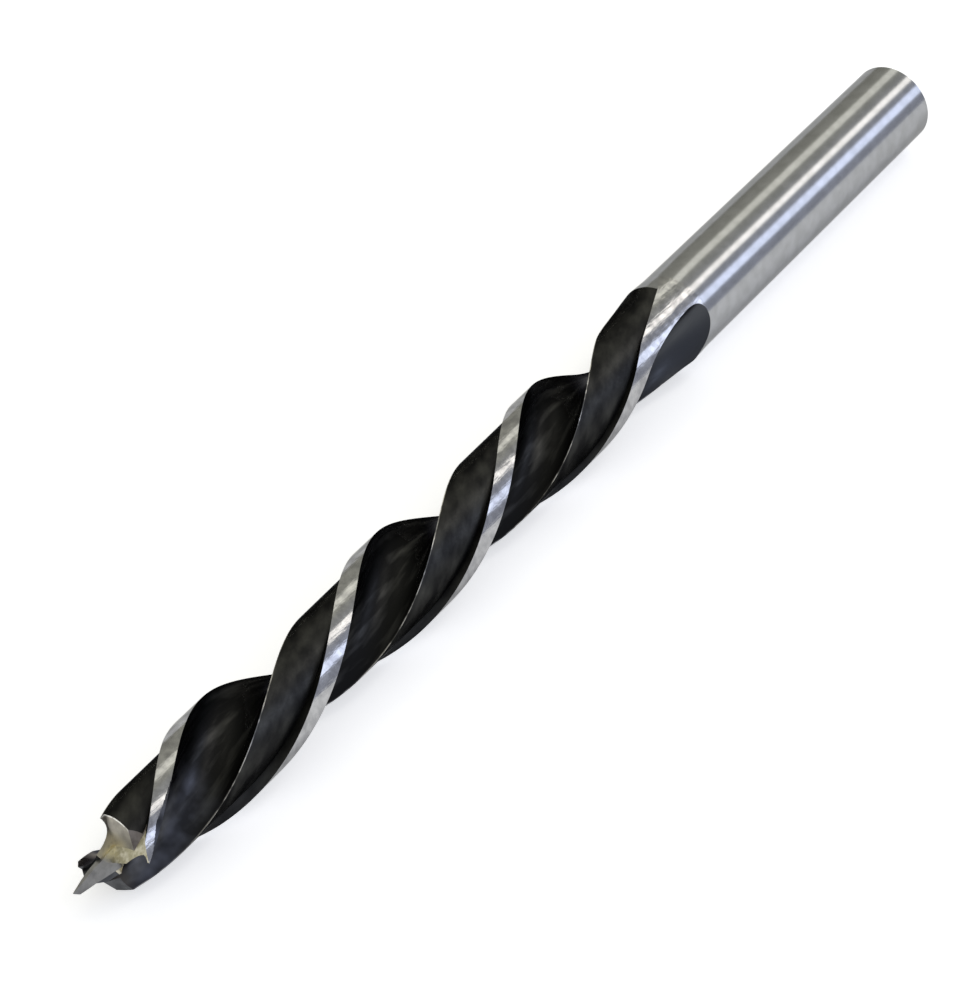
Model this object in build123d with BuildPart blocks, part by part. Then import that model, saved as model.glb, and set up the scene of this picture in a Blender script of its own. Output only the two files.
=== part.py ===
from build123d import *
import os
from math import acos, cos, degrees, radians, sin, sqrt, tan

# Wood drill bit with a brad point: one piece of steel, turned, fluted and ground.
# It lies on its side, with its tip towards -X. Lengths are in millimetres and
# angles in degrees. A place along the bit is its distance from the tip, and an
# angle round the bit runs from +Y towards +Z.

# Blank
overall_length = 117.0
drill_diameter = 8.0
shank_diameter = 7.8
shank_taper_length = 2.0
end_chamfer = 0.45

# Flutes: two round ones, winding left-handed, with a core that thickens towards the shank
lead = 43.2
edge_angle_at_tip = 186.7
flute_length = 78.5
flute_radius_at_tip = 3.1
flute_radius_at_end = 2.85
core_diameter_at_tip = 1.7
core_diameter_at_end = 2.2

# Run-out: each flute straightens while the cutter lifts out of it along an arc
lift_radius = 7.0
lift_clearance = 1.1
straighten_ahead = 4.3
straighten_length = 9.6
straighten_angle = 34.7
runout_length = 21.5
runout_sections = 12

# Clearance, the back of each land, ground lower than the margin beside the cutting edge
margin_angle = 24.3
clearance_depth_at_tip = 0.88
clearance_depth_at_ramp = 0.49
ramp_length = 7.4
ramp_to_flute_end = 2.1
narrowing_length = 6.4
narrowing_lead = 62.8
tip_margin_length = 13.0
tip_margin_lead = 37.6

# Spear: four flanks, with its tip ground a little to one side of the axis
spear_length = 4.25
spear_tip_width = 0.1
spear_tip_thickness = 0.06
spear_tip_offset = 0.19
spear_flat_place = 1.2
spear_flat_width = 0.4
spear_root_width = 0.7
spear_bend_place = 1.8
spear_far_thickness = 0.57
spear_near_thickness = 0.36
spear_root_thickness = 0.8

# Near land's end: a lip that stands proud of the face behind it, and a spur at the
# margin with a valley ground beside it
near_face_place = 4.45
near_face_relief = 14.0
near_lip_place = 3.7
near_lip_fall = 0.1
near_lip_width = 1.75
near_lip_corner_fall = 0.32
near_lip_corner = 3.3
near_lip_relief = 50.0
valley_depth = 1.15
valley_width = 0.8
spur_width = 0.9
spur_height = 1.45

# Far land's end, ground steeper and with its corner taken off
far_lip_place = 1.2
far_lip_fall = 2.15
far_lip_relief = 31.0
far_ridge_relief = 58.0
far_corner_width = 1.05
far_corner_fall = 1.15
far_corner_tip_width = 0.3
far_corner_tip_fall = 0.5
far_face_place = 3.49
far_face_rise = 1.6
far_face_relief = 19.3

# How far a cutter reaches past what it cuts
reach = 3.0

tip_x = -overall_length / 2
drill_radius = drill_diameter / 2
axis_height = drill_radius
bit_axis = Axis((tip_x, 0, axis_height), (1, 0, 0))
land_turns = (0, 180)
ramp_end = flute_length - ramp_to_flute_end
ramp_start = ramp_end - ramp_length


def lift_travel(height):
    """How far the cutter moves along the bit while it lifts by a height."""
    return sqrt(lift_radius**2 - (lift_radius - height)**2)


lift_to_surface = drill_radius - core_diameter_at_end / 2
lift_start = flute_length - lift_travel(lift_to_surface)
lift_end = lift_start + lift_travel(lift_to_surface + lift_clearance)


def across(place):
    """Plane square to the axis, with local X along +Y and local Y up."""
    return Plane(origin=(tip_x + place, 0, axis_height), x_dir=(0, 1, 0), z_dir=(1, 0, 0))


def lengthways(angle):
    """Plane through the axis: local X runs along the bit from the tip, local Y outwards."""
    side = (0, -sin(radians(angle)), cos(radians(angle)))
    return Plane(origin=(tip_x, 0, axis_height), x_dir=(1, 0, 0), z_dir=side)


def polar(distance, angle):
    return (distance * cos(radians(angle)), distance * sin(radians(angle)))


def cutting_edge(place):
    """Angle of the near land's cutting edge."""
    return edge_angle_at_tip - 360 * place / lead


def axis_line(start, end):
    with BuildLine() as path:
        Line((tip_x + start, 0, axis_height), (tip_x + end, 0, axis_height))
    return path.line


def twist_guide(start, end, guide_lead):
    """Helix that turns a section about the axis as it moves along it."""
    with BuildLine() as guide:
        Helix(
            pitch=guide_lead,
            height=end - start,
            radius=drill_diameter,
            center=(tip_x + start, 0, axis_height),
            direction=(1, 0, 0),
            lefthand=True,
        )
    return guide.line.edges()[0]


def flute_circle(place):
    """Centre distance, angle ahead of the cutting edge and radius of a flute's section."""
    share = min(place / lift_start, 1)
    radius = flute_radius_at_tip + (flute_radius_at_end - flute_radius_at_tip) * share
    core = core_diameter_at_tip + (core_diameter_at_end - core_diameter_at_tip) * share
    distance = core / 2 + radius
    through_edge = distance**2 + drill_radius**2 - radius**2
    angle = degrees(acos(through_edge / (2 * distance * drill_radius)))
    share = (place - lift_start + straighten_ahead) / straighten_length
    share = min(max(share, 0), 1)
    angle += straighten_angle * share**2 * (3 - 2 * share)
    lifted = max(place - lift_start, 0)
    distance += lift_radius - sqrt(lift_radius**2 - lifted**2)
    return distance, angle, radius


def flute_span(places, turn):
    """A round cutter's path along part of a flute, through its sections at these places."""
    with BuildPart() as span:
        for place in places:
            distance, angle, radius = flute_circle(place)
            edge = cutting_edge(place) + turn
            with BuildSketch(across(place)):
                with Locations(Location((*polar(distance, edge + angle), 0), (0, 0, edge))):
                    Circle(radius)
        sweep(
            path=axis_line(places[0], places[-1]),
            multisection=True,
            binormal=twist_guide(places[0], places[-1], lead),
        )
    return span.part


def flute_cutter(turn):
    """One whole flute, from ahead of the tip to where the cutter is clear of the bit."""
    runout_start = flute_length - runout_length
    step = (lift_end - runout_start) / runout_sections
    with BuildPart() as cutter:
        add(flute_span((-reach, runout_start), turn))
        add(flute_span([runout_start + step * i for i in range(runout_sections + 1)], turn))
    return cutter.part


def clearance_sector(start, end, sector_lead, start_margin, turn):
    """Twisting sector that starts inside the flute and stops at the margin."""
    flute_middle = cutting_edge(start) + turn + flute_circle(start)[1]
    margin = cutting_edge(start) + turn + 180 - start_margin
    inner = core_diameter_at_end / 2
    outer = drill_radius + reach
    with BuildPart() as sector:
        for place in (start, end):
            first = flute_middle - 360 * (place - start) / sector_lead
            last = first + margin - flute_middle
            with BuildSketch(across(place)):
                with BuildLine():
                    CenterArc((0, 0), inner, first, last - first)
                    CenterArc((0, 0), outer, first, last - first)
                    Line(polar(inner, first), polar(outer, first))
                    Line(polar(inner, last), polar(outer, last))
                make_face()
        sweep(
            path=axis_line(start, end),
            multisection=True,
            binormal=twist_guide(start, end, sector_lead),
        )
    return sector.part


def clearance_cutter(turn):
    """Removes the back of one land, down to a cone that ramps up to the full diameter."""
    slope = (clearance_depth_at_tip - clearance_depth_at_ramp) / ramp_start
    front = (-reach, drill_radius - clearance_depth_at_tip - slope * reach)
    ramp_foot = (ramp_start, drill_radius - clearance_depth_at_ramp)
    ramp_top = (ramp_end, drill_radius)
    narrowing_start = ramp_end - narrowing_length
    margin_growth = 360 / tip_margin_lead - 360 / lead
    tip_margin = margin_angle - margin_growth * (tip_margin_length + reach)
    with BuildPart() as cutter:
        add(clearance_sector(-reach, tip_margin_length, tip_margin_lead, tip_margin, turn))
        add(clearance_sector(tip_margin_length, narrowing_start, lead, margin_angle, turn))
        add(clearance_sector(narrowing_start, flute_length, narrowing_lead, margin_angle, turn))
        with BuildSketch(lengthways(0)):
            with BuildLine():
                Line(front, ramp_foot)
                TangentArc(ramp_foot, ramp_top, tangent=(1, slope))
                Polyline(ramp_top, (ramp_end, drill_diameter), (-reach, drill_diameter), front)
            make_face()
        revolve(axis=bit_axis, mode=Mode.INTERSECT)
    return cutter.part


def land_end(angle, end_points, relief_angle, both=True):
    """All of one half of the bit that grinding along this line leaves. The line runs from
    the axis outwards at this angle, and the surface falls away behind it. Ahead of the
    line it goes on rising, or with both=False nothing is left."""
    plane = lengthways(angle)
    relief = Vector(tan(radians(relief_angle)), 0, 0)
    outer_end = end_points[-1][0]
    with BuildPart() as half:
        with BuildSketch(plane):
            with BuildLine():
                Polyline(
                    *end_points,
                    (outer_end, drill_diameter),
                    (overall_length + reach, drill_diameter),
                    (overall_length + reach, 0),
                    close=True,
                )
            make_face()
        extrude(amount=2 * drill_diameter, dir=relief - plane.z_dir, both=both)
    return half.part


def near_land_end(angle):
    """The near land's face with its spur, and the proud lip in front of it."""
    valley = near_face_place + valley_depth
    face = [
        (near_face_place, 0),
        (near_face_place, drill_radius - spur_width - valley_width),
        (valley, drill_radius - spur_width),
        (valley - spur_height, drill_radius),
    ]
    lip_bend = near_lip_place + near_lip_fall
    lip = [
        (near_lip_place, 0),
        (lip_bend, near_lip_width),
        (lip_bend + near_lip_corner_fall, near_lip_corner),
        (valley - spur_height, drill_radius),
    ]
    with BuildPart() as end:
        add(land_end(angle, face, near_face_relief))
        add(land_end(angle, lip, near_lip_relief, both=False))
    return end.part


def far_land_end(angle):
    """The far land's sloping lip, a flat ground across behind it, and a ridge that is left."""
    corner = far_lip_place + far_lip_fall
    lip = [
        (far_lip_place, 0),
        (corner, drill_radius - far_corner_width),
        (corner + far_corner_fall, drill_radius - far_corner_tip_width),
        (corner + far_corner_fall + far_corner_tip_fall, drill_radius),
    ]
    face = [(far_face_place, 0), (far_face_place - far_face_rise, drill_radius)]
    with BuildPart() as end:
        add(land_end(angle, lip, far_lip_relief))
        add(land_end(angle, face, far_face_relief), mode=Mode.INTERSECT)
        add(land_end(angle, lip, far_ridge_relief, both=False))
    return end.part


def spear_flanks(angle, upper_side, lower_side):
    """Two opposite flanks of the spear, each through points at a place and a half width."""
    upper = [*upper_side, (overall_length, upper_side[-1][1])]
    lower = [*lower_side, (overall_length, lower_side[-1][1])]
    with BuildPart() as flanks:
        with BuildSketch(lengthways(angle)):
            with BuildLine():
                Polyline(*upper, *reversed(lower), close=True)
            make_face()
        extrude(amount=drill_diameter, both=True)
    return flanks.part


lip_angle = cutting_edge(spear_length)

with BuildPart() as spear:
    wide = [
        (0, spear_tip_width / 2),
        (spear_flat_place, spear_flat_width / 2),
        (spear_length, spear_root_width / 2),
    ]
    near_side = [
        (0, spear_tip_thickness / 2 - spear_tip_offset),
        (spear_tip_offset * 2, spear_near_thickness / 2),
        (spear_bend_place, spear_near_thickness),
        (spear_length, spear_root_thickness),
    ]
    far_side = [
        (0, -spear_tip_thickness / 2 - spear_tip_offset),
        (spear_bend_place, -spear_far_thickness),
        (spear_length, -spear_root_thickness),
    ]
    add(spear_flanks(lip_angle, wide, [(place, -half) for place, half in wide]))
    add(spear_flanks(lip_angle + 90, near_side, far_side), mode=Mode.INTERSECT)

with BuildPart() as ground_form:
    add(spear.part)
    add(near_land_end(lip_angle))
    add(far_land_end(lip_angle + 180))

with BuildPart() as drill_bit:
    with BuildSketch(lengthways(0)):
        with BuildLine():
            Polyline(
                (0, 0),
                (0, drill_radius),
                (flute_length - shank_taper_length, drill_radius),
                (flute_length, shank_diameter / 2),
                (overall_length - end_chamfer, shank_diameter / 2),
                (overall_length, shank_diameter / 2 - end_chamfer),
                (overall_length, 0),
                close=True,
            )
        make_face()
    revolve(axis=bit_axis)
    for turn in land_turns:
        add(clearance_cutter(turn), mode=Mode.SUBTRACT)
        add(flute_cutter(turn), mode=Mode.SUBTRACT)
    add(ground_form.part, mode=Mode.INTERSECT)

drill_bit.part.label = "drill_bit"
os.makedirs("parts", exist_ok=True)
export_step(drill_bit.part, "parts/drill_bit.step")
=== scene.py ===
import math
from collections import namedtuple
from itertools import accumulate

import bmesh
import bpy
from mathutils import Matrix, Vector


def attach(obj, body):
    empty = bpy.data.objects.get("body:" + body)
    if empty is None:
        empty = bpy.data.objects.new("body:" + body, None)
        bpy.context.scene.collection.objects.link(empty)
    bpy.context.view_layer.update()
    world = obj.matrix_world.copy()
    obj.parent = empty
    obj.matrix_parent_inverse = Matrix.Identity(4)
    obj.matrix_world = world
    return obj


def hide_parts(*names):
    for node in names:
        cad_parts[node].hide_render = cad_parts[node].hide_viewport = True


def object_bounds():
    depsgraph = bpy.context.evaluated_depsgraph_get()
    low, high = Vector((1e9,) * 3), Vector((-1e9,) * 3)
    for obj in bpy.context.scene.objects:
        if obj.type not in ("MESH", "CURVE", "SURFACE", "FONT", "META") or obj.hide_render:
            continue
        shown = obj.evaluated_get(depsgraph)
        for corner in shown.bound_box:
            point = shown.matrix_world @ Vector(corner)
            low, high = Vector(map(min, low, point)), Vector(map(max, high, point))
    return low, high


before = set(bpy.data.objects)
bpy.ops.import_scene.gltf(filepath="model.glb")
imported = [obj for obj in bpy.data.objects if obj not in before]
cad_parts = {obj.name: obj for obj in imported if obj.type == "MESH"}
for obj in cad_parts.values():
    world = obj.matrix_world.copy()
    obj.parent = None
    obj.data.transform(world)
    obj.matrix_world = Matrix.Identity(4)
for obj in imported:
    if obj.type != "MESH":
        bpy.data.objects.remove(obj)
cad_low, cad_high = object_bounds()

# The drill bit, in millimetres and degrees. A place is a distance from the tip along the
# bit, and an angle in a section runs from +Y towards +Z.
MM = 0.001
overall_length = 117.0
drill_radius = 4.0
shank_radius = 3.9
shank_taper_length = 2.0
end_chamfer = 0.45

# Flutes
lead = 43.2
edge_angle_at_tip = 186.7
flute_end = 78.5
flute_radius_at_tip = 3.1
flute_radius_at_end = 2.85
core_radius_at_tip = 0.85
core_radius_at_end = 1.1
lift_radius = 7.0
straighten_ahead = 4.3
straighten_length = 9.6
straighten_angle = 34.7
lift_start = flute_end - math.sqrt(lift_radius**2 - (lift_radius - drill_radius + core_radius_at_end) ** 2)

# Clearance, the lowered back of each land
margin_angle = 24.3
clearance_depth_at_tip = 0.88
clearance_depth_at_ramp = 0.49
ramp_end = 76.4
ramp_length = 7.4
ramp_start = ramp_end - ramp_length
clearance_slope = (clearance_depth_at_tip - clearance_depth_at_ramp) / ramp_start
narrowing_length = 6.4
narrowing_lead = 62.8
tip_margin_length = 13.0
tip_margin_lead = 37.6

# Point: each ground surface as a line of places and distances from the axis, and how
# many degrees it falls away behind the lip. The near land is the upper one.
spear_length = 4.25
spear_wide = [(0, 0.05), (1.2, 0.2), (spear_length, 0.35)]
spear_near_side = [(0, -0.16), (0.38, 0.18), (1.8, 0.36), (spear_length, 0.8)]
spear_far_side = [(0, -0.22), (1.8, -0.57), (spear_length, -0.8)]
near_face, near_face_relief = [(4.45, 0), (4.45, 2.3), (5.6, 3.1), (4.15, 4.0)], 14.0
near_lip, near_lip_relief = [(3.7, 0), (3.8, 1.75), (4.12, 3.3), (4.15, 4.0)], 50.0
far_lip, far_lip_relief = [(1.2, 0), (3.35, 2.95), (4.5, 3.7), (5.0, 4.0)], 31.0
far_face, far_face_relief = [(3.49, 0), (1.89, 4.0)], 19.3
far_ridge_relief = 58.0
clear_of_bit = 8.0
past_axis = 0.05

# Strip of the margin, beside the cutting edge, that kept its oxide: places and degrees
coated_edge = [(4.6, 0), (6.2, 7), (7.4, 5), (10.0, 0)]

# Mesh: steps round a section and along the bit, how far the blank starts ahead of the
# tip, and the angle between faces from which an edge is sharp
flute_steps = 26
back_steps = 20
wall_steps = 2
margin_steps = 20
helix_steps = 300
runout_steps = 50
shank_steps = 12
blank_overhang = 0.6
sharp_edge = 25

tip_x = cad_low.x / MM
axis_height = (cad_high.z + cad_low.z) / 2 / MM
lip_angle = edge_angle_at_tip - 360 * spear_length / lead

FLUTE, BACK, BRIGHT, MARGIN, GROUND, SPEAR, STRAW, BROWN_GREY, DULL_AND_SHADE = range(9)

# A section of the blank: its place, its corners, the finish that follows each, and the
# distance round the section from the heel to each
Ring = namedtuple("Ring", "place corners kinds around")


def add_node(tree, kind, settings=None, links=None, **properties):
    """Adds a node, sets its sockets to values and joins its sockets to other outputs."""
    node = tree.nodes.new(kind)
    for name, value in properties.items():
        setattr(node, name, value)
    for socket, value in (settings or {}).items():
        node.inputs[socket].default_value = value
    for socket, source in (links or {}).items():
        tree.links.new(source, node.inputs[socket])
    return node


def linear(hex_colour):
    """An sRGB colour as the linear one that a shader takes."""
    channels = [int(hex_colour[i : i + 2], 16) / 255 for i in (1, 3, 5)]
    curve = [c / 12.92 if c <= 0.04045 else ((c + 0.055) / 1.055) ** 2.4 for c in channels]
    return (*curve, 1.0)


def mix(start, end, share):
    """The value at this share of the way from start to end, and never past either."""
    return start + (end - start) * min(max(share, 0), 1)


def polar(distance, angle):
    """A point of a section, by its distance from the axis and its angle."""
    return Vector((distance * math.cos(math.radians(angle)), distance * math.sin(math.radians(angle))))


def opening(near_side, far_side, opposite):
    """Angle between two sides of a triangle, from the lengths of all three."""
    cosine = (near_side**2 + far_side**2 - opposite**2) / (2 * near_side * far_side)
    return math.degrees(math.acos(min(max(cosine, -1), 1)))


def blank_radius(place):
    """Radius of the uncut bar, which tapers to the shank where the flutes end."""
    return mix(drill_radius, shank_radius, (place - flute_end + shank_taper_length) / shank_taper_length)


def clearance_radius(place):
    """Radius of a land's back: a cone, then an arc from its slope up to full diameter."""
    if place >= ramp_end:
        return blank_radius(place)
    if place <= ramp_start:
        return drill_radius - clearance_depth_at_tip + clearance_slope * place
    chord = Vector((ramp_length, clearance_depth_at_ramp))
    normal = Vector((-clearance_slope, 1)).normalized()
    radius = chord.length_squared / (2 * chord.dot(normal))
    centre = normal * radius
    rise = centre.y - math.sqrt(radius**2 - (place - ramp_start - centre.x) ** 2)
    return drill_radius - clearance_depth_at_ramp + rise


def flute_circle(place):
    """Distance and angle of the centre of a flute's round section, and its radius."""
    share = place / lift_start
    radius = mix(flute_radius_at_tip, flute_radius_at_end, share)
    distance = mix(core_radius_at_tip, core_radius_at_end, share) + radius
    angle = opening(distance, drill_radius, radius)
    # Near its end the flute turns against the twist, and so straightens
    share = min(max((place - lift_start + straighten_ahead) / straighten_length, 0), 1)
    angle += straighten_angle * share**2 * (3 - 2 * share)
    # It rises out of the bar on an arc
    lifted = min(max(place - lift_start, 0), lift_radius)
    distance += lift_radius - math.sqrt(lift_radius**2 - lifted**2)
    return distance, angle, radius


def coated_strip(place):
    """Degrees of the margin beside the cutting edge where the oxide was never ground off."""
    for (start, width), (end, next_width) in zip(coated_edge, coated_edge[1:]):
        if start <= place <= end:
            return mix(width, next_width, (place - start) / (end - start))
    return 0.0


def half_section(place):
    """One land before the bit is twisted: its flute, its back and its margin, as points
    with the finish of the surface that follows each."""
    outer = blank_radius(place)
    inner = clearance_radius(place)
    distance, centre_angle, radius = flute_circle(place)
    open_flute = distance - radius < outer
    edge = centre_angle - (opening(distance, outer, radius) if open_flute else 0)
    heel = centre_angle + (opening(distance, inner, radius) if open_flute else 0)
    # The margin's wall has a lead of its own at the tip, and another before the ramp's end
    narrowed = min(max(place - ramp_end + narrowing_length, 0), narrowing_length)
    margin = 180 - margin_angle + narrowed * (360 / lead - 360 / narrowing_lead)
    margin += max(tip_margin_length - place, 0) * (360 / tip_margin_lead - 360 / lead)
    if open_flute:
        first = centre_angle + 180 + opening(distance, radius, outer)
        last = centre_angle + 180 - opening(distance, radius, inner)
        middle = polar(distance, centre_angle)
        flute = [
            middle + polar(radius, mix(first, last, i / flute_steps)) for i in range(flute_steps)
        ]
    else:
        flute = [polar(outer, centre_angle)] * flute_steps
    back = [polar(inner, mix(heel, margin, i / back_steps)) for i in range(back_steps)]
    wall = [polar(mix(inner, outer, i / wall_steps), margin) for i in range(wall_steps)]
    rim = [polar(outer, mix(margin, 180 + edge, i / margin_steps)) for i in range(margin_steps)]
    bright_steps = margin_steps * (1 - coated_strip(place) / (180 + edge - margin))
    back_finish = BACK if place < ramp_end else BRIGHT
    rim_finish = MARGIN if open_flute else BRIGHT
    return [
        *((point, FLUTE) for point in flute),
        *((point, back_finish) for point in back + wall),
        *((point, rim_finish if i < bright_steps else FLUTE) for i, point in enumerate(rim)),
    ]


def section_places():
    """Places of the sections: close together, and closest where the flutes run out."""
    blank_length = lift_start + blank_overhang
    places = [-blank_overhang + blank_length * i / helix_steps for i in range(helix_steps + 1)]
    for i in range(1, runout_steps + 1):
        places.append(mix(lift_start, flute_end, math.sin(math.pi / 2 * i / runout_steps)))
    places += [ramp_end, flute_end - shank_taper_length]
    shank_end = overall_length - end_chamfer
    places += [mix(flute_end, shank_end, i / shank_steps) for i in range(1, shank_steps + 1)]
    return sorted(places) + [overall_length]


def new_object(name, mesh):
    """Merges, closes and turns outwards a bmesh, and makes an object of it."""
    bmesh.ops.remove_doubles(mesh, verts=mesh.verts, dist=1e-7)
    bmesh.ops.recalc_face_normals(mesh, faces=mesh.faces)
    data = bpy.data.meshes.new(name)
    mesh.to_mesh(data)
    mesh.free()
    made = bpy.data.objects.new(name, data)
    bpy.context.scene.collection.objects.link(made)
    return made


def fluted_blank():
    """The bit before it is twisted, with straight flutes and no point. Each corner keeps its
    distance round the section from the heel and its place, and each face its finish."""
    mesh = bmesh.new()
    finish = mesh.faces.layers.int.new("finish")
    wrap = mesh.loops.layers.uv.new("wrap")
    rings = []
    for place in section_places():
        half = half_section(place)
        size = 1 - end_chamfer / shank_radius if place == overall_length else 1
        points = [point * size for point, kind in half]
        following = points[1:] + [-points[0]]
        widths = [(after - before).length for before, after in zip(points, following)]
        to_heel = sum(widths[:flute_steps])
        around = list(accumulate(widths, initial=-to_heel))
        points += [-point for point in points]
        kinds = [kind for point, kind in half] * 2
        x = (tip_x + place) * MM
        corners = [mesh.verts.new((x, y * MM, z * MM + axis_height * MM)) for y, z in points]
        rings.append(Ring(place, corners, kinds, around))
    for near, far in zip(rings, rings[1:]):
        chamfer = far.place == overall_length
        for i, kind in enumerate(near.kinds):
            j = (i + 1) % len(near.kinds)
            face = mesh.faces.new(
                (near.corners[i], far.corners[i], far.corners[j], near.corners[j])
            )
            face[finish] = DULL_AND_SHADE if chamfer else kind
            k = i % (len(near.kinds) // 2)
            steps = (near, k), (far, k), (far, k + 1), (near, k + 1)
            for loop, (ring, step) in zip(face.loops, steps):
                loop[wrap].uv = (ring.around[step], ring.place)
    for ring in (rings[0], rings[-1]):
        face = mesh.faces.new(ring.corners)
        face[finish] = DULL_AND_SHADE
    return new_object("fluted_blank", mesh)


def prism(name, outline, angle, sides, finishes, relief=0.0):
    """A flat outline along the bit and outwards at this angle, carried through sideways.
    The finishes are those of the first sides of the outline, and the last also covers the rest."""
    outward = polar(1, angle)
    sideways = Vector((-outward.y, outward.x))
    mesh = bmesh.new()
    finish = mesh.faces.layers.int.new("finish")
    rings = []
    for side in sides:
        ring = []
        for place, out in outline:
            across = outward * out + sideways * side
            x = tip_x + place - relief * side
            ring.append(mesh.verts.new((x * MM, across.x * MM, (across.y + axis_height) * MM)))
        rings.append(ring)
    near, far = rings
    mesh.faces.new(near)
    mesh.faces.new(far)
    for i in range(len(near)):
        j = (i + 1) % len(near)
        mesh.faces.new((near[i], far[i], far[j], near[j]))
    for face in mesh.faces:
        face[finish] = finishes[-1]
    mesh.faces.ensure_lookup_table()
    for face, kind in zip(mesh.faces[2:], finishes):
        face[finish] = kind
    bmesh.ops.triangulate(mesh, faces=mesh.faces)
    return new_object(name, mesh)


def land_end(name, angle, line, relief, finishes, both=True):
    """All of one half of the bit that grinding along this line leaves behind it."""
    far_place = overall_length + clear_of_bit
    outline = [(line[0][0], -past_axis), *line[1:], (line[-1][0], clear_of_bit)]
    outline += [(far_place, clear_of_bit), (far_place, -past_axis)]
    sides = (-clear_of_bit, clear_of_bit if both else 0)
    return prism(name, outline, angle, sides, finishes, math.tan(math.radians(relief)))


def spear_flanks(name, angle, one_side, other_side):
    """Two opposite flanks of the spear, carried on to the shank end."""
    outline = [*one_side, (overall_length + clear_of_bit, one_side[-1][1])]
    outline += [(overall_length + clear_of_bit, other_side[-1][1]), *reversed(other_side)]
    return prism(name, outline, angle, (-clear_of_bit, clear_of_bit), (SPEAR,))


def bit_tree(forms, materials):
    """Geometry nodes that twist the blank about its axis and grind its point."""
    tree = bpy.data.node_groups.new("twist_and_grind", "GeometryNodeTree")
    tree.is_modifier = True
    tree.interface.new_socket("Blank", in_out="INPUT", socket_type="NodeSocketGeometry")
    for name in forms:
        tree.interface.new_socket(name, in_out="INPUT", socket_type="NodeSocketObject")
    for name in ("Lead", "Edge angle at tip", "Tip place", "Flute end", "Axis height"):
        tree.interface.new_socket(name, in_out="INPUT", socket_type="NodeSocketFloat")
    tree.interface.new_socket("Bit", in_out="OUTPUT", socket_type="NodeSocketGeometry")
    given = add_node(tree, "NodeGroupInput").outputs
    position = add_node(tree, "GeometryNodeInputPosition").outputs["Position"]
    x = add_node(tree, "ShaderNodeSeparateXYZ", links={0: position}).outputs["X"]
    # Past the flutes' end the blank turns no further
    x = add_node(tree, "ShaderNodeMath", links={0: x, 1: given["Flute end"]}, operation="MINIMUM").outputs[0]
    place = add_node(tree, "ShaderNodeMath", links={0: x, 1: given["Tip place"]}, operation="SUBTRACT")
    turns = add_node(
        tree, "ShaderNodeMath", links={0: place.outputs[0], 1: given["Lead"]}, operation="DIVIDE"
    )
    twist = add_node(tree, "ShaderNodeMath", {1: math.tau}, {0: turns.outputs[0]}, operation="MULTIPLY")
    angle = add_node(
        tree,
        "ShaderNodeMath",
        links={0: given["Edge angle at tip"], 1: twist.outputs[0]},
        operation="SUBTRACT",
    )
    axis = add_node(tree, "ShaderNodeCombineXYZ", links={"Z": given["Axis height"]})
    turned = add_node(
        tree,
        "ShaderNodeVectorRotate",
        links={"Vector": position, "Center": axis.outputs[0], "Angle": angle.outputs[0]},
        rotation_type="X_AXIS",
    )
    twisted = add_node(
        tree, "GeometryNodeSetPosition", links={"Geometry": given["Blank"], "Position": turned.outputs[0]}
    )

    shapes = {"Twisted blank": twisted.outputs[0]}
    for name in forms:
        form = add_node(tree, "GeometryNodeObjectInfo", links={"Object": given[name]})
        shapes[name] = form.outputs["Geometry"]
    for name, operation, parts in (
        ("Far land", "INTERSECT", ("Far lip", "Far face")),
        ("Spear", "INTERSECT", ("Spear width", "Spear thickness")),
        ("Point", "UNION", ("Near face", "Near lip", "Far land", "Far ridge", "Spear")),
        ("Bit", "INTERSECT", ("Twisted blank", "Point")),
    ):
        joined = add_node(tree, "GeometryNodeMeshBoolean", operation=operation, solver="EXACT")
        for part in parts:
            tree.links.new(shapes[part], joined.inputs["Mesh 2"])
        shapes[name] = joined.outputs["Mesh"]
    result = add_node(tree, "GeometryNodeRealizeInstances", links={0: shapes["Bit"]}).outputs[0]
    finish = add_node(tree, "GeometryNodeInputNamedAttribute", {"Name": "finish"}, data_type="INT")
    for kind, material in materials.items():
        chosen = add_node(
            tree, "FunctionNodeCompare", {3: kind}, {2: finish.outputs[0]}, data_type="INT", operation="EQUAL"
        )
        result = add_node(
            tree,
            "GeometryNodeSetMaterial",
            {"Material": material},
            {"Geometry": result, "Selection": chosen.outputs[0]},
        ).outputs[0]
    add_node(tree, "NodeGroupOutput", links={0: result})
    return tree


# Most of a noise lies between these two values, and an overlay keeps this strength
# between its spots
noise_low = 0.3
noise_high = 0.7
between_spots = 0.15


def stretched(tree, vector, size, detail=3.0):
    """Noise with features of about this size along each direction of the vector."""
    scaled = add_node(tree, "ShaderNodeVectorMath", {1: size}, {0: vector}, operation="DIVIDE")
    return add_node(
        tree, "ShaderNodeTexNoise", {"Scale": 1.0, "Detail": detail}, {"Vector": scaled.outputs[0]}
    ).outputs[0]


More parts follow.
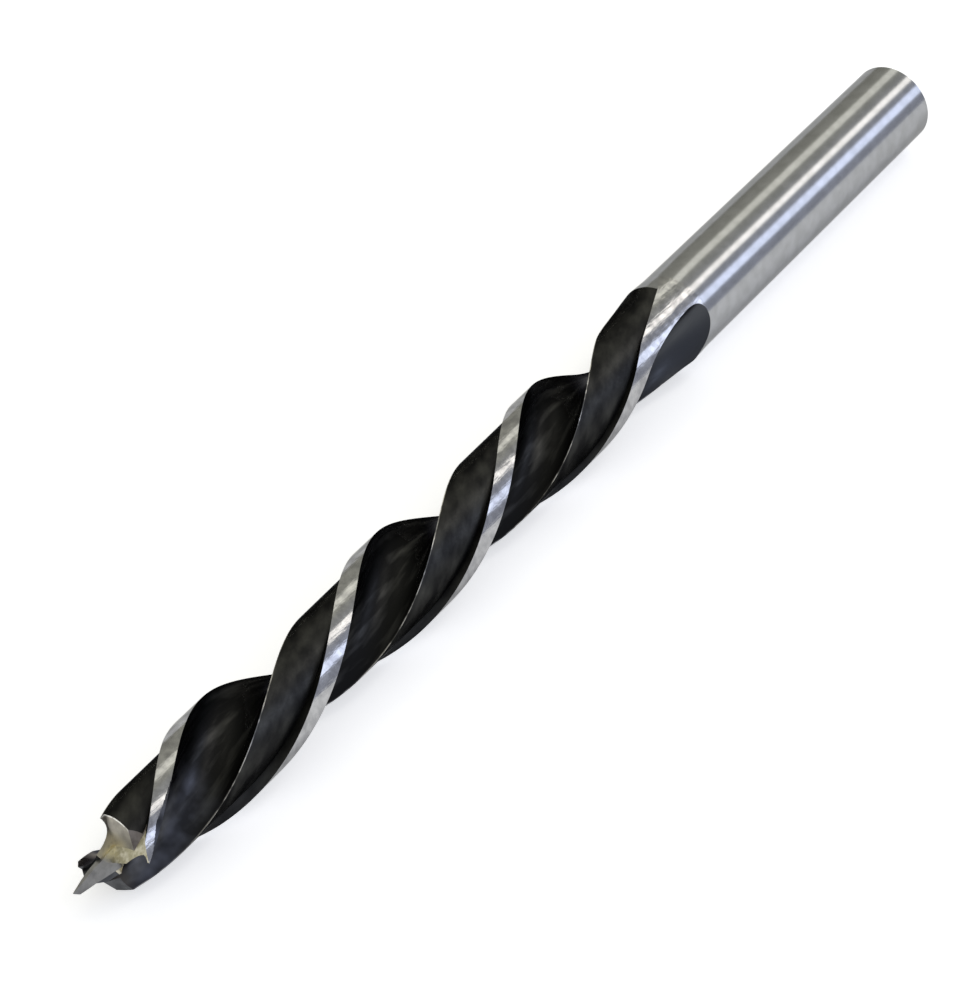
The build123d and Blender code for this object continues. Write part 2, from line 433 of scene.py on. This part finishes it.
def steel(name, shades, spread, gloss, cloud, grain, grain_depth, wrapped=False, edge_tint="#ffffff"):
    """Bare or coated steel: its shade wanders between two in clouds or streaks of one size,
    where the noise is within the spread, and a grain varies its gloss and tilts its surface.
    Sizes are in millimetres, round and along the bit where wrapped, and else along X, Y
    and Z."""
    material = bpy.data.materials.new(name)
    material.use_nodes = True
    tree = material.node_tree
    shader = tree.nodes["Principled BSDF"]
    shader.inputs["Metallic"].default_value = 1.0
    shader.inputs["Specular Tint"].default_value = linear(edge_tint)
    if wrapped:
        surface = add_node(tree, "ShaderNodeAttribute", attribute_name="wrap").outputs["Vector"]
    else:
        surface = in_millimetres(tree)
    clouds = stretched(tree, surface, cloud)
    share = add_node(
        tree, "ShaderNodeMapRange", {"From Min": spread[0], "From Max": spread[1]}, {"Value": clouds}
    )
    dull, light = (linear(shade) for shade in shades)
    shade = add_node(tree, "ShaderNodeMix", {6: dull, 7: light}, {0: share.outputs[0]}, data_type="RGBA")
    tree.links.new(shade.outputs[2], shader.inputs["Base Color"])
    fine = stretched(tree, surface, grain, 4.0)
    rough = add_node(
        tree,
        "ShaderNodeMapRange",
        {"From Min": noise_low, "From Max": noise_high, "To Min": gloss[0], "To Max": gloss[1]},
        {"Value": fine},
    )
    tree.links.new(rough.outputs[0], shader.inputs["Roughness"])
    bump = add_node(tree, "ShaderNodeBump", {"Distance": grain_depth * MM}, {"Height": fine})
    tree.links.new(bump.outputs[0], shader.inputs["Normal"])
    return material


def in_millimetres(tree):
    """Object coordinates in millimetres."""
    place = add_node(tree, "ShaderNodeTexCoord").outputs["Object"]
    return add_node(
        tree, "ShaderNodeVectorMath", {"Scale": 1 / MM}, {0: place}, operation="SCALE"
    ).outputs[0]


def overlay(material, distance, solid, faded, spot_size, spread, shade):
    """Lays another shade over a finish: whole up to the solid distance, gone at the faded
    one, and broken into spots where the noise is within the spread."""
    tree = material.node_tree
    shader = tree.nodes["Principled BSDF"]
    near = add_node(
        tree,
        "ShaderNodeMapRange",
        {"From Min": solid, "From Max": faded, "To Min": 1.0, "To Max": 0.0},
        {"Value": distance},
    )
    spots = stretched(tree, in_millimetres(tree), (spot_size, spot_size, spot_size), 2.0)
    strength = add_node(
        tree,
        "ShaderNodeMapRange",
        {"From Min": spread[0], "From Max": spread[1], "To Min": between_spots, "To Max": 1.0},
        {"Value": spots},
    )
    share = add_node(
        tree, "ShaderNodeMath", links={0: near.outputs[0], 1: strength.outputs[0]}, operation="MULTIPLY"
    )
    under = shader.inputs["Base Color"].links[0].from_socket
    shown = add_node(
        tree, "ShaderNodeMix", {7: linear(shade)}, {0: share.outputs[0], 6: under}, data_type="RGBA"
    )
    tree.links.new(shown.outputs[2], shader.inputs["Base Color"])


def from_heel(tree):
    """Distance round the section from the heel, the edge between flute and back."""
    surface = add_node(tree, "ShaderNodeAttribute", attribute_name="wrap").outputs["Vector"]
    around = add_node(tree, "ShaderNodeSeparateXYZ", links={0: surface}).outputs["X"]
    return add_node(tree, "ShaderNodeMath", links={0: around}, operation="ABSOLUTE").outputs[0]


def from_place(tree, place):
    """Distance along the bit from a section of it."""
    surface = add_node(tree, "ShaderNodeAttribute", attribute_name="wrap").outputs["Vector"]
    along = add_node(tree, "ShaderNodeSeparateXYZ", links={0: surface}).outputs["Y"]
    away = add_node(tree, "ShaderNodeMath", {1: place}, {0: along}, operation="SUBTRACT")
    return add_node(tree, "ShaderNodeMath", links={0: away.outputs[0]}, operation="ABSOLUTE").outputs[0]


def from_point(tree, place, out, angle):
    """Distance from a point at this place, distance from the axis and angle."""
    across = polar(out, angle)
    point = (tip_x + place, across.x, across.y + axis_height)
    return add_node(
        tree, "ShaderNodeVectorMath", {1: point}, {0: in_millimetres(tree)}, operation="DISTANCE"
    ).outputs["Value"]


def from_back_edge(tree):
    """Distance from the edge between a ground end and the back of the land."""
    flat = add_node(
        tree, "ShaderNodeVectorMath", {1: (0, 1, 1)}, {0: in_millimetres(tree)}, operation="MULTIPLY"
    )
    radius = add_node(
        tree, "ShaderNodeVectorMath", {1: (0, 0, axis_height)}, {0: flat.outputs[0]}, operation="DISTANCE"
    )
    return add_node(
        tree,
        "ShaderNodeMath",
        {0: clearance_radius(near_face[0][0])},
        {1: radius.outputs["Value"]},
        operation="SUBTRACT",
    ).outputs[0]


# Sizes and spreads of noise that several finishes share
fine_cloud = (0.7, 0.7, 0.7)
wheel_marks = (0.5, 0.06, 0.06)
even = (0.35, 0.65)
materials = {
    # Black oxide: nearly black and half dull, with paler smears along the flute
    FLUTE: steel(
        "black_oxide_flute",
        shades=("#222222", "#474746"),
        spread=(0.5, 0.78),
        gloss=(0.3, 0.46),
        cloud=(0.9, 5, 1),
        grain=(0.2, 2.5, 1),
        grain_depth=0.0012,
        wrapped=True,
        edge_tint="#8c8c90",
    ),
    # The same oxide on the turned backs of the lands: greyer and more mottled
    BACK: steel(
        "black_oxide_back",
        shades=("#2a2a2a", "#434341"),
        spread=(0.38, 0.72),
        gloss=(0.34, 0.5),
        cloud=(1.4, 2.4, 1),
        grain=(0.12, 0.2, 1),
        grain_depth=0.0012,
        wrapped=True,
        edge_tint="#77777c",
    ),
    # Ground shank: bright, with sharp even reflections
    BRIGHT: steel(
        "ground_bright_steel",
        shades=("#9d9ea0", "#a7a8ab"),
        spread=even,
        gloss=(0.17, 0.19),
        cloud=(1.2, 1.2, 1.2),
        grain=(0.8, 0.8, 0.8),
        grain_depth=0.00005,
        edge_tint="#b8b8b6",
    ),
    # The same steel on the margins, where the wheel left waves that break up the reflections
    MARGIN: steel(
        "chattered_margin_steel",
        shades=("#98989a", "#b4b4b5"),
        spread=even,
        gloss=(0.13, 0.2),
        cloud=(0.8, 0.8, 1),
        grain=(2.5, 0.6, 0.6),
        grain_depth=0.03,
        edge_tint="#b8b8b6",
    ),
    # End face of the near land: pale and satin from the wheel
    GROUND: steel(
        "wheel_ground_face",
        shades=("#8d8981", "#aaa59a"),
        spread=even,
        gloss=(0.4, 0.52),
        cloud=fine_cloud,
        grain=wheel_marks,
        grain_depth=0.002,
    ),
    # Spear: greyer than the face
    SPEAR: steel(
        "ground_spear_steel",
        shades=("#7b7a78", "#92918e"),
        spread=even,
        gloss=(0.38, 0.5),
        cloud=fine_cloud,
        grain=wheel_marks,
        grain_depth=0.002,
    ),
    # The lip, tinted straw by the heat of grinding, made pale as painted light, with near-white painted
    # glints
    STRAW: steel(
        "straw_lip_and_painted_glints",
        shades=("#cfc9b0", "#fffbee"),
        spread=(0.42, 0.7),
        gloss=(0.38, 0.5),
        cloud=(0.4, 0.4, 0.4),
        grain=wheel_marks,
        grain_depth=0.003,
    ),
    # Darker brownish grey: painted shade on the near face's notch wall, and the far lip's first flank
    BROWN_GREY: steel(
        "brown_grey_grind_and_painted_shade",
        shades=("#6a635d", "#8b847d"),
        spread=even,
        gloss=(0.36, 0.5),
        cloud=fine_cloud,
        grain=wheel_marks,
        grain_depth=0.002,
    ),
    # The far land's end and the shank's turned end: dark grey and dull, on the far land's end as painted
    # shade
    DULL_AND_SHADE: steel(
        "dull_cut_steel_and_painted_shade",
        shades=("#444547", "#5a5b5d"),
        spread=even,
        gloss=(0.4, 0.52),
        cloud=fine_cloud,
        grain=wheel_marks,
        grain_depth=0.002,
    ),
}

# A thin bright line along the heels, where the oxide has worn off
for kind in (FLUTE, BACK):
    distance = from_heel(materials[kind].node_tree)
    overlay(
        materials[kind],
        distance,
        solid=0.03,
        faded=0.1,
        spot_size=1.2,
        spread=(0.42, 0.6),
        shade="#d2cfc8",
    )

# Straw tint round the root of the spear, and on the spear's upper flank; its pale shades are painted light
# over the shaded hollow at the root
for kind, out, solid, faded, shade in (
    (GROUND, 0, 0.8, 2.2, "#e6dec4"),
    (SPEAR, 1, 0.45, 1.15, "#fff6d2"),
):
    distance = from_point(materials[kind].node_tree, place=4.3, out=out, angle=85)
    overlay(materials[kind], distance, solid, faded, spot_size=0.4, spread=(0.1, 0.5), shade=shade)

# A painted highlight: a light line where the near land's end face meets the back, in place of that edge's
# glint
distance = from_back_edge(materials[GROUND].node_tree)
overlay(
    materials[GROUND],
    distance,
    solid=0.06,
    faded=0.17,
    spot_size=0.5,
    spread=(0.35, 0.6),
    shade="#fffef8",
)

# A paler patch beside the far lip as painted light on the far land's wall, then bluish smears near the tip,
# a greyer end, which covers part of that patch, and the even grey of the run-out
distance = from_point(materials[FLUTE].node_tree, place=4.0, out=3.0, angle=lip_angle + 178)
overlay(
    materials[FLUTE],
    distance,
    solid=1.5,
    faded=2.3,
    spot_size=2.0,
    spread=(0.0, 0.3),
    shade="#bdb6ad",
)
for place, solid, faded, spread, shade in (
    (8, 2.5, 6, (0.4, 0.7), "#5c5e65"),
    (0, 3.9, 4.9, (0.0, 0.3), "#42403f"),
    (flute_end, 4, 10, (0.0, 0.3), "#47494d"),
):
    distance = from_place(materials[FLUTE].node_tree, place)
    overlay(materials[FLUTE], distance, solid, faded, spot_size=2.0, spread=spread, shade=shade)

blank = fluted_blank()
far_angle = lip_angle + 180
# The near face's notch wall takes the brownish grey as painted shade
face_finishes = (GROUND, BROWN_GREY, GROUND)
lip_finishes = (STRAW, STRAW, STRAW, GROUND)
forms = {
    "Near face": land_end("near_face", lip_angle, near_face, near_face_relief, face_finishes),
    "Near lip": land_end("near_lip", lip_angle, near_lip, near_lip_relief, lip_finishes, False),
    "Far lip": land_end("far_lip", far_angle, far_lip, far_lip_relief, (BROWN_GREY, GROUND)),
    # The far face's dark grey is painted shade
    "Far face": land_end("far_face", far_angle, far_face, far_face_relief, (DULL_AND_SHADE, GROUND)),
    "Far ridge": land_end("far_ridge", far_angle, far_lip, far_ridge_relief, (DULL_AND_SHADE,), False),
    "Spear width": spear_flanks("spear_width", lip_angle, spear_wide, [(p, -w) for p, w in spear_wide]),
    "Spear thickness": spear_flanks("spear_thickness", lip_angle + 90, spear_near_side, spear_far_side),
}

tree = bit_tree(forms, materials)
modifier = blank.modifiers.new("twist_and_grind", "NODES")
modifier.node_group = tree
inputs = {
    **forms,
    "Lead": lead * MM,
    "Edge angle at tip": math.radians(edge_angle_at_tip),
    "Tip place": tip_x * MM,
    "Flute end": (tip_x + flute_end) * MM,
    "Axis height": axis_height * MM,
}
for socket in tree.interface.items_tree:
    if socket.name in inputs:
        modifier[socket.identifier] = inputs[socket.name]

graph = bpy.context.evaluated_depsgraph_get()
data = bpy.data.meshes.new_from_object(blank.evaluated_get(graph), depsgraph=graph)
data.name = "ground_bit"
bit = bpy.data.objects.new("ground_bit", data)
bpy.context.scene.collection.objects.link(bit)
for made in (blank, *forms.values()):
    bpy.data.objects.remove(made)
for polygon in data.polygons:
    polygon.use_smooth = True
data.set_sharp_from_angle(angle=math.radians(sharp_edge))
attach(bit, "root")
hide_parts("drill_bit")

# Floor: white paper that keeps the shadow. What the camera or a reflection sees of it is
# lifted to white, and the bit gets no more light from that.
floor_lift = 0.56
mesh = bmesh.new()
bmesh.ops.create_grid(mesh, x_segments=1, y_segments=1, size=2.0)
floor = new_object("floor", mesh)
paper = bpy.data.materials.new("white_paper_sweep")
paper.use_nodes = True
nodes = paper.node_tree
nodes.nodes.clear()
seen = add_node(nodes, "ShaderNodeLightPath")
any_ray = add_node(
    nodes,
    "ShaderNodeMath",
    links={0: seen.outputs["Is Camera Ray"], 1: seen.outputs["Is Glossy Ray"]},
    operation="ADD",
)
any_ray = add_node(
    nodes,
    "ShaderNodeMath",
    links={0: any_ray.outputs[0], 1: seen.outputs["Is Transmission Ray"]},
    operation="ADD",
    use_clamp=True,
)
lift = add_node(
    nodes, "ShaderNodeMath", {1: floor_lift}, {0: any_ray.outputs[0]}, operation="MULTIPLY"
)
lit = add_node(nodes, "ShaderNodeBsdfDiffuse", {"Color": linear("#f2f2f2")})
lifted = add_node(nodes, "ShaderNodeEmission", {"Color": linear("#ffffff")}, {"Strength": lift.outputs[0]})
both = add_node(nodes, "ShaderNodeAddShader", links={0: lit.outputs[0], 1: lifted.outputs[0]})
add_node(nodes, "ShaderNodeOutputMaterial", links={"Surface": both.outputs[0]})
floor.data.materials.append(paper)

# Three soft boxes beyond the shank end, which give the shank its three bright stripes.
# Each lies box_ahead times as far along the bit as it lies out from it.
box_ahead = 0.75
box_distance = 1.2
box_length = 0.9


def soft_box(name, angle, width, colour, strength):
    """A long lamp aimed at the bit and lying along it: its angle is in the section."""
    lamp = bpy.data.lights.new(name, "AREA")
    lamp.shape = "RECTANGLE"
    lamp.size, lamp.size_y = box_length, width
    lamp.color = linear(colour)[:3]
    lamp.energy = strength
    made = bpy.data.objects.new(name, lamp)
    across = polar(1, angle)
    toward = Vector((box_ahead, across.x, across.y)).normalized()
    along = (Vector((1, 0, 0)) - toward * toward.x).normalized()
    made.location = toward * box_distance
    made.rotation_euler = Matrix((along, toward.cross(along), toward)).transposed().to_euler()
    bpy.context.scene.collection.objects.link(made)


soft_box("far_box", 57, 0.3, "#fffdf0", 0.85)
soft_box("warm_box", 105, 0.22, "#fffaf0", 1.4)
soft_box("cool_box", 143, 0.3, "#dfe8ff", 1.7)

# Studio walls: a cool grey on the near side, and a warmer one on the far side
world = bpy.data.worlds.new("studio")
bpy.context.scene.world = world
world.use_nodes = True
studio = world.node_tree
direction = add_node(studio, "ShaderNodeTexCoord").outputs["Generated"]
side = add_node(studio, "ShaderNodeSeparateXYZ", links={0: direction}).outputs["Y"]
far_share = add_node(studio, "ShaderNodeMapRange", {"From Min": -0.5, "From Max": 0.3}, {"Value": side})
walls = add_node(
    studio,
    "ShaderNodeMix",
    {6: linear("#b9bdca"), 7: linear("#bdbcb0")},
    {0: far_share.outputs[0]},
    data_type="RGBA",
)
studio.links.new(walls.outputs[2], studio.nodes["Background"].inputs["Color"])

# The camera of the photograph
camera_data = bpy.data.cameras.new("camera")
camera_data.lens = 107.56
camera_data.sensor_width = 36.0
camera_data.clip_start = 0.01
camera_data.clip_end = 10
camera = bpy.data.objects.new("camera", camera_data)
camera.location = Vector((-149.52, -99.50, 164.86)) * MM
camera.rotation_euler = (math.radians(47.174), 0, math.radians(-54.947))
bpy.context.scene.collection.objects.link(camera)
bpy.context.scene.camera = camera
bpy.context.scene.view_settings.view_transform = "Standard"
